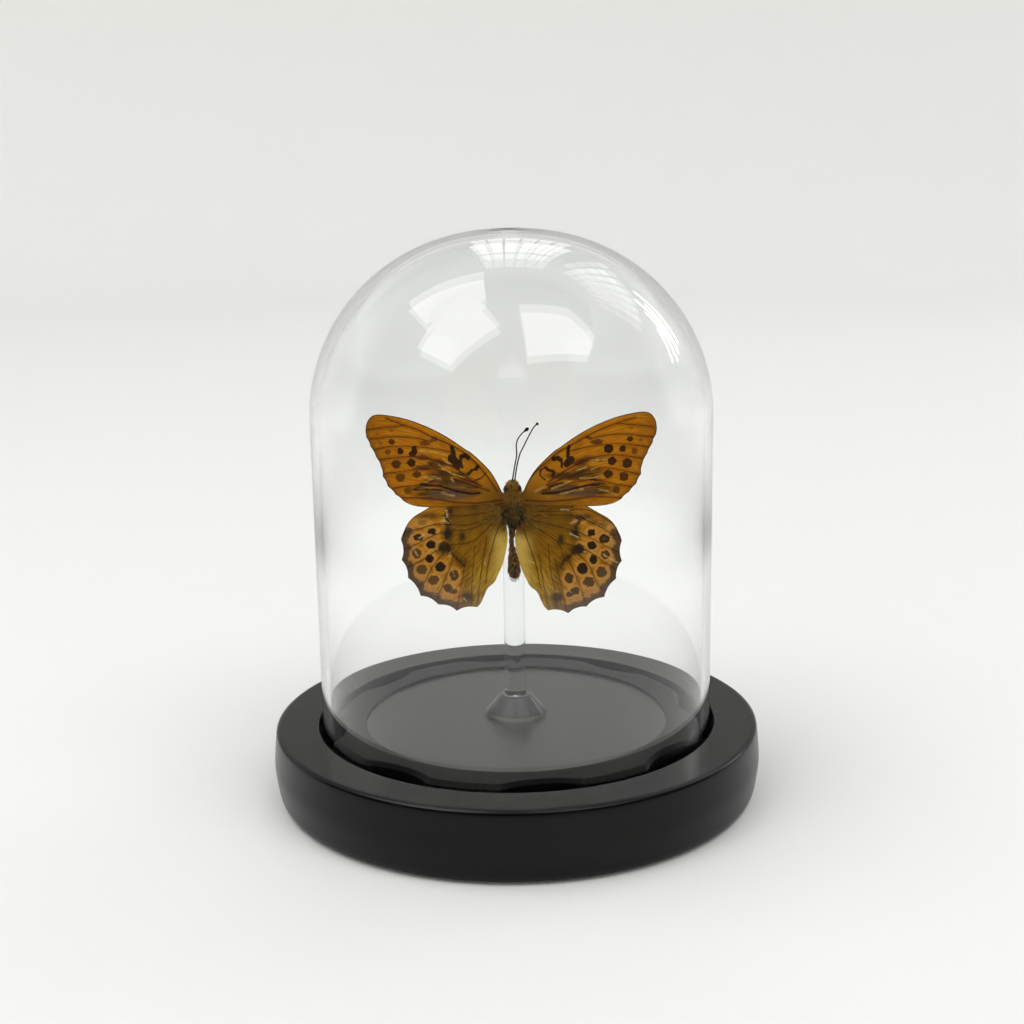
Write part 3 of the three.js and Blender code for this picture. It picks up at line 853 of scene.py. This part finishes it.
def make_stand():
    socket = ROD_RADIUS + 0.06
    rod_end = FOOT_TOP - 1.0
    glued = WELL_FLOOR - 0.1
    foot = rounded([
        (0, glued, 0), (FOOT_RADIUS, glued, 0.05),
        (FOOT_RADIUS, FOOT_BOTTOM + FOOT_LIP, 0.25), (FOOT_TOP_RADIUS, FOOT_TOP, 0.3),
        (socket, FOOT_TOP, 0.1), (socket, rod_end - 0.06, 0.3), (0, rod_end - 0.06, 0),
    ])
    bm = turned(foot, 96, STAND)
    # The foot's bottom faces take the opaque black material.
    for face in bm.faces:
        if face.calc_center_median().z < glued + 0.02:
            face.material_index = 1
    foot_clear = acrylic("clear_cast_acrylic", 0.3)
    finished("rod_foot", bm, [foot_clear, black_underside()], "rod_foot")
    rod_clear = acrylic("clear_polished_acrylic", 1.0)
    rod = rounded([
        (0, rod_end, 0), (ROD_RADIUS, rod_end, 0.35), (ROD_RADIUS, ROD_TOP, 0.35),
        (0, ROD_TOP, 0),
    ])
    finished("rod", turned(rod, 72, STAND), [rod_clear], "rod")


def bayed_margin(tips, bay):
    """The outer margin: a shallow bay between each pair of vein ends."""
    line = [tips[0]]
    for (u0, v0), (u1, v1) in zip(tips, tips[1:]):
        span = math.hypot(u1 - u0, v1 - v0)
        inward = ((v1 - v0) / span * 2 * bay, -(u1 - u0) / span * 2 * bay)
        middle = ((u0 + u1) / 2 + inward[0], (v0 + v1) / 2 + inward[1])
        for step in range(1, 9):
            t = step / 8
            line.append(tuple(
                (1 - t) ** 2 * start + 2 * t * (1 - t) * control + t ** 2 * end
                for start, control, end in zip((u0, v0), middle, (u1, v1))
            ))
    return line


def along_side(line, shares):
    """Points at given shares of a line's length."""
    line = np.array(line)
    walked = np.concatenate([[0], np.cumsum(np.hypot(*np.diff(line, axis=0).T))])
    walked /= walked[-1]
    return np.stack([np.interp(shares, walked, line[:, axis]) for axis in (0, 1)], axis=1)


def distance_to(places, line):
    """Distance from each place to the nearest point of a line."""
    nearest = np.full(len(places), 99.0)
    for start, end in zip(np.array(line[:-1]), np.array(line[1:])):
        run = end - start
        share = np.clip((places - start) @ run / max(run @ run, 1e-9), 0, 1)
        nearest = np.minimum(nearest, np.hypot(*(places - start - share[:, None] * run).T))
    return nearest


def patch_places(outline, along, fan):
    """Spreads a square of places over a wing: along runs out, fan from hind to front edge."""
    leading = curve_through(outline["leading"], 6)
    margin = [outline["leading"][-1], *bayed_margin(outline["tips"], outline["bay"])]
    trailing = curve_through([outline["tips"][-1], *outline["trailing"]], 6)[::-1]
    front = along_side(leading, along)
    back = along_side(trailing, along)
    outer = along_side(margin[::-1], fan)
    root = along_side([outline["trailing"][-1], outline["leading"][0]], fan)
    s, t = along[:, None], fan[:, None]
    corners = (
        (1 - s) * (1 - t) * np.array(trailing[0]) + (1 - s) * t * np.array(leading[0])
        + s * (1 - t) * np.array(margin[-1]) + s * t * np.array(margin[0])
    )
    return (1 - t) * back + t * front + (1 - s) * root + s * outer - corners, margin


def paint_fields(marks, places, margin):
    """How far each place of a wing is from its markings, in the order of WING_FIELDS."""
    outline = marks["outline"]
    veins = [curve_through(vein, 5) for vein in marks["veins"]]
    front_edge = curve_through(outline["leading"], 6)
    hind_edge = curve_through([outline["tips"][-1], *outline["trailing"]], 6)
    vein = np.min([distance_to(places, line) for line in veins], axis=0)
    to_margin = distance_to(places, margin)
    rim = np.minimum(to_margin, distance_to(places, front_edge))
    rim = np.minimum(rim, distance_to(places, hind_edge) + 0.1)
    spot = np.full(len(places), 9.0)
    darkness = np.zeros(len(places))
    for *centre, wide, tall, dark in marks["spots"]:
        gap = (np.hypot(*((places - centre) / (wide, tall)).T) - 1) * min(wide, tall)
        darkness = np.where(gap < spot, dark, darkness)
        spot = np.minimum(spot, gap)
    smudge = np.zeros(len(places))
    for *centre, wide, tall, dark in marks["smudges"]:
        gap = np.hypot(*((places - centre) / (wide, tall)).T)
        smudge = np.maximum(smudge, dark * np.clip(1.5 - gap, 0, 1))
    bar = np.min([distance_to(places, line) - half for half, line in marks["bars"]], axis=0)
    bare = np.min([distance_to(places, line) for line in marks["bare"]], axis=0)
    outer = places[:, 0] - np.interp(places[:, 1], MEDIAN_HEIGHTS, MEDIAN_REACH)
    return vein, spot, darkness, bar, bare, smudge, to_margin, rim, outer


def make_wing(name, marks, faces):
    """One wing from its markings, with a material for the upper face and one for the under."""
    outline = marks["outline"]
    columns, rows = outline["grid"]
    bm = bmesh.new()
    bmesh.ops.create_grid(bm, x_segments=columns, y_segments=rows, size=0.5)
    flat = np.array([vert.co[:2] for vert in bm.verts]) + 0.5
    places, margin = patch_places(outline, *flat.T)
    painted = paint_fields(marks, places, margin)
    vein = painted[0]
    held = np.clip(flat[:, 0] * 6, 0, 1)
    pleat = PLEAT_DEPTH * (1 - np.exp(-(vein / PLEAT_REACH) ** 2)) * held
    bow = outline["camber"] * np.prod(np.sin(math.pi * flat), axis=1)
    side, set_out, set_up = marks["side"], *marks["set"]
    for vert, (u, v), lift in zip(bm.verts, places, pleat - bow):
        reach = u + set_out
        wave = WAVE_DEPTH * noise.noise(Vector((u / WAVE_LENGTH, v / WAVE_LENGTH, side * 3)))
        vert.co = (
            side * reach * math.cos(WING_SWEEP),
            marks["plane"] - reach * math.sin(WING_SWEEP) + lift + wave * min(1, u / 8),
            BODY_Z + v + set_up,
        )
    for face in bm.faces:
        face.normal_update()
    if sum(face.normal.y for face in bm.faces) > 0:
        bmesh.ops.reverse_faces(bm, faces=bm.faces)

    wing = finished(name, bm, faces)
    for field, values in zip(WING_FIELDS, (*flat.T, *places.T, *painted)):
        stored = wing.data.attributes.new(field, "FLOAT", "POINT")
        stored.data.foreach_set("value", np.ascontiguousarray(values, dtype=np.float32))
    ribs = wing.vertex_groups.new(name="ribs")
    for index, gap in enumerate(vein):
        weight = math.exp(-(gap / RIB_REACH) ** 2)
        if weight > 0.01:
            ribs.add([index], weight, "REPLACE")
    skin = wing.modifiers.new("two_sides", "SOLIDIFY")
    skin.thickness = VEIN_THICKNESS * METRE
    skin.offset = 0
    skin.vertex_group = ribs.name
    skin.thickness_vertex_group = MEMBRANE_SHARE
    skin.material_offset = 1


def ball(bm, at, radii, segments):
    bmesh.ops.create_uvsphere(
        bm, u_segments=segments, v_segments=segments // 2, radius=1,
        matrix=Matrix.Translation(at) @ Matrix.Diagonal((*radii, 1)),
    )


def stalk(bm, route, radii, sides=8):
    """A closed tube that follows a route, with its own radius at each point."""
    route = [Vector(point) for point in route]
    facing = Vector((0, 1, 0))
    ring = []
    for index, point in enumerate(route):
        ahead = route[min(index + 1, len(route) - 1)] - route[max(index - 1, 0)]
        ahead.normalize()
        across = ahead.cross(facing).normalized()
        over = across.cross(ahead)
        if not ring:
            ring = bmesh.ops.create_circle(bm, cap_ends=True, segments=sides, radius=1)["verts"]
        else:
            edges = {edge for vert in ring for edge in vert.link_edges
                     if all(end in ring for end in edge.verts)}
            grown = bmesh.ops.extrude_edge_only(bm, edges=list(edges))["geom"]
            moved = [part for part in grown if isinstance(part, bmesh.types.BMVert)]
            partner = {
                edge.other_vert(vert): vert for vert in moved for edge in vert.link_edges
                if edge.other_vert(vert) in ring
            }
            ring = [partner[vert] for vert in ring]
        for place, vert in enumerate(ring):
            angle = 2 * math.pi * place / sides
            arm = across * math.cos(angle) + over * math.sin(angle)
            vert.co = point + arm * radii[index]
    bm.faces.new(ring)


def body_place(x, y, z, side=1):
    return (side * x, BODY_Y + y, BODY_Z + z)


THORAX_AT, THORAX = (0, 0, -0.7), (2.3, 2.25, 5.1)
HEAD_AT, HEAD = (0, 0, 3.8), (1.6, 1.6, 1.7)
EYE_AT, EYE = (1.25, -0.15, 3.35), (0.95, 1.1, 1.2)
SHOULDER_AT, SHOULDER = (1.5, -0.6, 1.9), (0.75, 0.8, 1.35)
PALP_AT, PALP = (0.4, -1.5, 4.5), (0.28, 0.5, 0.85)
ABDOMEN = [
    (-3.0, 1.3), (-5.4, 1.15), (-7.4, 0.75), (-9.6, 0.55), (-11.6, 0.8), (-13.6, 1.3),
    (-15.4, 1.45), (-17.0, 1.55), (-18.1, 1.2), (-18.7, 0.6),
]
WAIST_HEIGHT = -9.5
WAIST_REACH = 4
WAIST_LEAN = 0.55
ABDOMEN_LEAN = 0.1
RING_PITCH = 1.75
RING_DEPTH = 0.13
LUMP_HEIGHT = 0.16
LUMPS_PER_MM = 1.1
ANTENNAE = [
    [(-0.5, -0.8, 4.6), (0.0, -0.9, 5.9), (0.6, -1.2, 9.3), (1.1, -1.4, 12.1), (1.1, -1.6, 15.1),
     (2.1, -1.7, 17.1), (4.0, -1.8, 18.8)],
    [(0.5, -0.8, 4.6), (0.6, -0.9, 5.9), (1.2, -1.0, 9.6), (2.1, -1.1, 12.7), (3.8, -1.2, 16.3),
     (5.3, -1.3, 18.9), (6.3, -1.3, 19.8)],
]
ANTENNA_RADIUS = 0.14
CLUB_RADIUS = 0.3
CLUB_LENGTH = 0.035
LEGS = [
    [(1.2, 1.4, 1.2), (3.0, 3.0, 0.2), (3.9, 4.0, -2.6), (4.2, 3.2, -5.6), (4.4, 2.6, -7.4)],
    [(1.2, 1.6, -1.6), (3.1, 3.2, -3.0), (4.1, 3.6, -6.2), (4.0, 2.4, -9.2), (4.2, 1.8, -10.8)],
]


def abdomen_bend(height):
    """How far the abdomen's middle lies to the right at a height."""
    return ABDOMEN_LEAN - WAIST_LEAN * math.exp(-((height - WAIST_HEIGHT) / WAIST_REACH) ** 2)


def make_body(scales):
    bm = bmesh.new()
    ball(bm, body_place(*THORAX_AT), THORAX, 48)
    ball(bm, body_place(*HEAD_AT), HEAD, 36)
    for side in (-1, 1):
        ball(bm, body_place(*SHOULDER_AT, side), SHOULDER, 20)
        ball(bm, body_place(*PALP_AT, side), PALP, 16)
    line = curve_through([(radius, height) for height, radius in ABDOMEN[::-1]], 8)
    tail = turned([(0, ABDOMEN[-1][0] - 0.1), *line, (0, ABDOMEN[0][0])], 32)
    for vert in tail.verts:
        crease = 0.5 + 0.5 * math.cos(2 * math.pi * vert.co.z / RING_PITCH)
        pinch = 1 - RING_DEPTH * crease ** 3
        bend = abdomen_bend(vert.co.z)
        vert.co = body_place(vert.co.x * pinch + bend, vert.co.y * pinch, vert.co.z)
    spare = bpy.data.meshes.new("abdomen_form")
    tail.to_mesh(spare)
    tail.free()
    bm.from_mesh(spare)
    bpy.data.meshes.remove(spare)
    for vert in bm.verts:
        vert.co += vert.normal * LUMP_HEIGHT * noise.noise(vert.co * LUMPS_PER_MM)
    bm.normal_update()
    finished("body", bm, [scales])


def make_eyes():
    bm = bmesh.new()
    for side in (-1, 1):
        ball(bm, body_place(*EYE_AT, side), EYE, 32)
    finished("eyes", bm, [eye_lens()])


def make_antennae_and_legs(shell):
    bm = bmesh.new()
    for route in ANTENNAE:
        line = curve_through([body_place(*point) for point in route], 8)
        radii = []
        for index in range(len(line)):
            left = 1 - index / (len(line) - 1)
            club = math.exp(-((left - CLUB_LENGTH) / CLUB_LENGTH) ** 2)
            radii.append(ANTENNA_RADIUS + 0.04 * left + CLUB_RADIUS * club)
        radii[-1] = ANTENNA_RADIUS
        stalk(bm, line, radii)
    finished("antennae", bm, [shell])
    bm = bmesh.new()
    for side in (-1, 1):
        for leg in LEGS:
            line = curve_through([body_place(*point, side) for point in leg], 6)
            radii = [
                0.26 - 0.14 * index / len(line) + 0.05 * math.cos(2 * math.pi * index / 6) ** 4
                for index in range(len(line))
            ]
            stalk(bm, line, radii)
    finished("legs", bm, [shell])


FUR_SEED = 7
ROD_CLEARANCE = 1.9
ROOT_DEPTH = 0.96
HAIR_STRAY = 0.28
HAIR_WIDTH = (0.04, 0.08)
ROOT_HAIRS = 650
ROOT_HAIR_WIDTH = (0.022, 0.04)


def make_fur(fur):
    """Hair on the head, thorax and tail, and the long hair over the roots of the hindwings."""
    draw = random.Random(FUR_SEED)
    strand = bpy.data.meshes.new("strand_form")
    form = bmesh.new()
    bmesh.ops.create_cone(form, cap_ends=True, segments=3, radius1=1, radius2=0.2, depth=1,
                          matrix=Matrix.Translation((0, 0, 0.5)))
    form.to_mesh(strand)
    form.free()
    bm = bmesh.new()

    def grow(root, heading, length, width):
        turn = Vector(heading).normalized().to_track_quat("Z", "Y").to_matrix().to_4x4()
        place = Matrix.Translation(root) @ turn @ Matrix.Diagonal((width, width, length, 1))
        strand.transform(place)
        bm.from_mesh(strand)
        strand.transform(place.inverted())

    def coat(at, radii, hairs, lengths, droop, behind=math.inf):
        """Drooping hairs (shortest and longest length) all over an egg shape, but none from
        behind on backwards."""
        for _ in range(hairs):
            z = draw.uniform(-1, 1)
            angle = draw.uniform(0, 2 * math.pi)
            ring = math.sqrt(1 - z * z)
            out = Vector((ring * math.cos(angle), ring * math.sin(angle), z))
            root = Vector(at) + Vector([a * b * ROOT_DEPTH for a, b in zip(out, radii)])
            if root.y >= behind:
                continue
            normal = Vector([a / b for a, b in zip(out, radii)]).normalized()
            stray = Vector([draw.gauss(0, HAIR_STRAY) for _ in range(3)])
            grow(root, normal + Vector((0, 0, -droop)) + stray, draw.uniform(*lengths),
                 draw.uniform(*HAIR_WIDTH))

    coat(body_place(*THORAX_AT), THORAX, 3200, (0.5, 1.3), 0.7, BODY_Y + ROD_CLEARANCE)
    coat(body_place(*HEAD_AT), HEAD, 700, (0.3, 0.6), -0.2)
    for side in (-1, 1):
        coat(body_place(*SHOULDER_AT, side), SHOULDER, 320, (0.4, 0.9), 0.8)
        coat(body_place(*PALP_AT, side), PALP, 160, (0.2, 0.45), -0.8)
    for height, radius in ABDOMEN[1:-1]:
        at = body_place(abdomen_bend(height), 0, height)
        coat(at, (radius, radius, 1.3), 170, (0.2, 0.5), 1.4)
    # The long hair fans out over the roots of the hindwings
    for side in (-1, 1):
        for _ in range(ROOT_HAIRS):
            angle = math.radians(draw.uniform(-82, 28))
            far = 1.4 + 5.6 * draw.random() ** 2
            u, v = 0.8 + far * math.cos(angle), -1.9 + far * math.sin(angle)
            root = (side * u, HINDWING_Y - 0.75 - u * 0.06, BODY_Z + v)
            heading = (
                side * math.cos(angle) + draw.gauss(0, 0.12), draw.uniform(-0.12, 0.08),
                math.sin(angle) + draw.gauss(0, 0.12),
            )
            grow(root, heading, draw.uniform(0.6, 1.6), draw.uniform(*ROOT_HAIR_WIDTH))
    bpy.data.meshes.remove(strand)
    finished("fur", bm, [fur])


# Surroundings

FLOOR_REACH = 1.25
FLOOR_BEND = 0.35
WALL_TOP = 0.75
# Out to TABLE_BRIGHT the floor stays pale in reflections; from TABLE_DIM on, reflections show it painted
# dark.
TABLE_BRIGHT = 0.21
TABLE_DIM = 0.30
CROWN = Vector((0, 0, 0.115))
CEILING = 1.5
WALL_AWAY = 1.2


def make_floor():
    """One pale sheet that lies flat and curves up all round. In gloss it is painted dark in front of the
    dome (painted reflection), and behind the dome it glows where seen through the glass (painted light).
    """
    bend = []
    for step in range(13):
        turn = math.pi / 2 * step / 12
        bend.append((FLOOR_REACH + FLOOR_BEND * math.sin(turn), FLOOR_BEND * (1 - math.cos(turn))))
    bm = turned([(0, 0), (0.3, 0), (0.8, 0), *bend, (FLOOR_REACH + FLOOR_BEND, WALL_TOP)], 96)
    bmesh.ops.reverse_faces(bm, faces=bm.faces)
    finish = Finish(bpy.data.materials.new("pale_floor"))
    place = finish.add("TexCoord", output="Object")
    x, y, z = finish.axes(place)
    bounced = finish.bounces("Glossy").rise(0.2, 0.8)
    inside = finish.bounces("Transmission")
    # Painted reflection: seen in gloss, the floor from TABLE_DIM outwards, except far behind the dome,
    # is painted dark grey.
    dim_in_gloss = ((x * x + y * y) ** 0.5).rise(TABLE_BRIGHT, TABLE_DIM) * y.rise(0.4, 0.05)
    # Painted light: the floor behind the dome glows when seen through both of the dome's walls, and when
    # seen in a reflection after the ray has passed the glass.
    through = inside.rise(3.2, 3.8) * y.rise(0.0, 0.25) * y.rise(0.7, 0.2)
    glow_after_gloss = bounced * inside.rise(1.2, 1.8) * y.rise(0.0, 0.3)
    colour = finish.layers(
        finish.blend(z.rise(0.02, 0.5), (243, 243, 241), (240, 241, 237)),
        (0.04 * finish.grain(place, 900.0, 2), (225, 225, 223)),
        (bounced * dim_in_gloss, (40, 40, 40)),
    )
    # Painted light: the glow behind the dome is emission on the floor.
    paper = finish.surface(colour, 0.9, 0.1, more={
        "Emission Color": finish.blend(through.most(glow_after_gloss), (0, 0, 0), (255, 255, 254)),
        "Emission Strength": 0.17,
    })
    floor = added("floor", bm, [paper])
    floor.data.shade_smooth()


def make_world():
    """Even pale light; the room in front of the dome is dim, which shows only in gloss."""
    finish = Finish(bpy.data.worlds.new("pale_room"))
    x, y, z = finish.axes(finish.add("TexCoord", output="Generated"))
    front = y.rise(0.5, -0.05) * z.rise(0.86, 0.6)
    bounced = finish.bounces("Glossy").rise(0.2, 0.8)
    scattered = finish.bounces("Diffuse").rise(0.2, 0.8)
    inside = finish.bounces("Transmission").rise(1.2, 1.8)
    through_wall = inside * y.rise(-0.1, 0.1) * z.rise(0.6, 0.35)
    dim_in_gloss = y.rise(0.35, -0.1).most(z.rise(0.35, 0.6)) * (1 - through_wall)
    dull = scattered.most(bounced * dim_in_gloss)
    colour = finish.layers(
        finish.blend(dull, (232, 233, 229), (178, 179, 179)), (front * bounced, (50, 50, 52)),
    )
    light = finish.add("Background", {"Color": colour, "Strength": 1.0})
    finish.add("OutputWorld", {"Surface": light})
    bpy.context.scene.world = finish.holder


def above(x, y):
    """A place on the ceiling, in ceiling heights out from the dome's crown."""
    return CROWN + CEILING * Vector((x, y, 1))


def aside(azimuth, rise):
    """A place on the walls, in degrees round from the front and up from the crown."""
    turn, rise = math.radians(azimuth), math.radians(rise)
    level = math.cos(rise)
    heading = Vector((math.sin(turn) * level, -math.cos(turn) * level, math.sin(rise)))
    return CROWN + WALL_AWAY * heading


def hang_light(name, radiance, placed, corners, panes=None, bar=0.0):
    """A bright sheet with these corners; panes (across, up) divide a four-sided one with bars."""
    corners = [placed(*corner) for corner in corners]
    bm = bmesh.new()
    if panes:
        bmesh.ops.create_grid(bm, x_segments=panes[0], y_segments=panes[1], size=0.5)
        frames = bmesh.ops.inset_individual(bm, faces=bm.faces[:], thickness=bar)["faces"]
        bmesh.ops.delete(bm, geom=frames, context="FACES")
        for vert in bm.verts:
            s, t = vert.co.x + 0.5, vert.co.y + 0.5
            vert.co = (
                (corners[0] * (1 - s) + corners[1] * s) * (1 - t)
                + (corners[3] * (1 - s) + corners[2] * s) * t
            )
    else:
        bm.faces.new([bm.verts.new(corner) for corner in corners])
    finish = Finish(bpy.data.materials.new(name))
    glow = finish.add("Emission", {"Strength": radiance})
    finish.add("OutputMaterial", {"Surface": glow})
    sheet = added(name, bm, [finish.holder])
    sheet.visible_camera = False


def make_lights():
    hang_light("soft_light_left_back", 2.55, above, [
        (-0.83, 0.39), (-0.16, 0.35), (-0.17, -0.09), (-0.76, -0.15),
    ])
    hang_light("soft_light_left_front", 3.0, above, [
        (-0.29, 0.09), (-0.08, -0.44), (-0.84, -0.98), (-1.09, -0.39),
    ])
    hang_light("soft_light_right", 3.0, above, [
        (0.07, -0.17), (0.47, -0.10), (0.74, -0.23), (0.90, -0.36), (1.00, -0.69), (0.21, -0.96),
    ])
    hang_light("lamp_gap", 0.8, above, [(0.02, -0.89), (0.32, -1.50), (-0.26, -1.48)])
    hang_light("skylight", 1.7, above, [
        (-0.24, 1.65), (0.40, 1.65), (0.20, 0.55), (-0.14, 0.55),
    ], (6, 5), 0.018)
    hang_light("side_skylight", 1.6, above, [
        (0.72, 0.25), (0.32, 0.59), (0.63, 1.28), (1.44, 0.54),
    ], (7, 4), 0.022)
    for place, (low, high) in enumerate(((14, 34), (13, 31), (15, 26))):
        left = 134 - 5 * place
        hang_light(f"window_strip_{place}", 5.5, aside, [
            (left - 6, low), (left - 8.5, low), (left - 1, high), (left + 1, high),
        ], (1, 6), 0.012)


# The photo's view: where the camera stands in metres, and its pan, tilt and roll in degrees
CAMERA_AT = (0.00001, -0.37866, 0.15877)
CAMERA_PAN = 0.037
CAMERA_TILT = -13.257
CAMERA_ROLL = -0.9525
FOCAL_LENGTH = 56.46
SENSOR_WIDTH = 36


def make_camera():
    lens = bpy.data.cameras.new("photo_view")
    lens.sensor_width = SENSOR_WIDTH
    lens.lens = FOCAL_LENGTH
    lens.clip_start = 0.01
    camera = bpy.data.objects.new("photo_view", lens)
    camera.matrix_world = (
        Matrix.Translation(CAMERA_AT)
        @ Matrix.Rotation(math.radians(CAMERA_PAN), 4, "Z")
        @ Matrix.Rotation(math.radians(90 + CAMERA_TILT), 4, "X")
        @ Matrix.Rotation(math.radians(CAMERA_ROLL), 4, "Z")
    )
    bpy.context.scene.collection.objects.link(camera)
    bpy.context.scene.camera = camera
    bpy.context.scene.view_settings.view_transform = "Standard"


make_base()
make_board()
make_dome()
make_stand()
fore_faces = [forewing_upper(), forewing_under()]
hind_faces = [hindwing_upper(), hindwing_under()]
make_wing("left_forewing", LEFT_FOREWING, fore_faces)
make_wing("right_forewing", RIGHT_FOREWING, fore_faces)
make_wing("left_hindwing", LEFT_HINDWING, hind_faces)
make_wing("right_hindwing", RIGHT_HINDWING, hind_faces)
make_body(body_scales())
make_eyes()
make_antennae_and_legs(dark_shell())
make_fur(body_fur())
make_floor()
make_world()
make_lights()
make_camera()
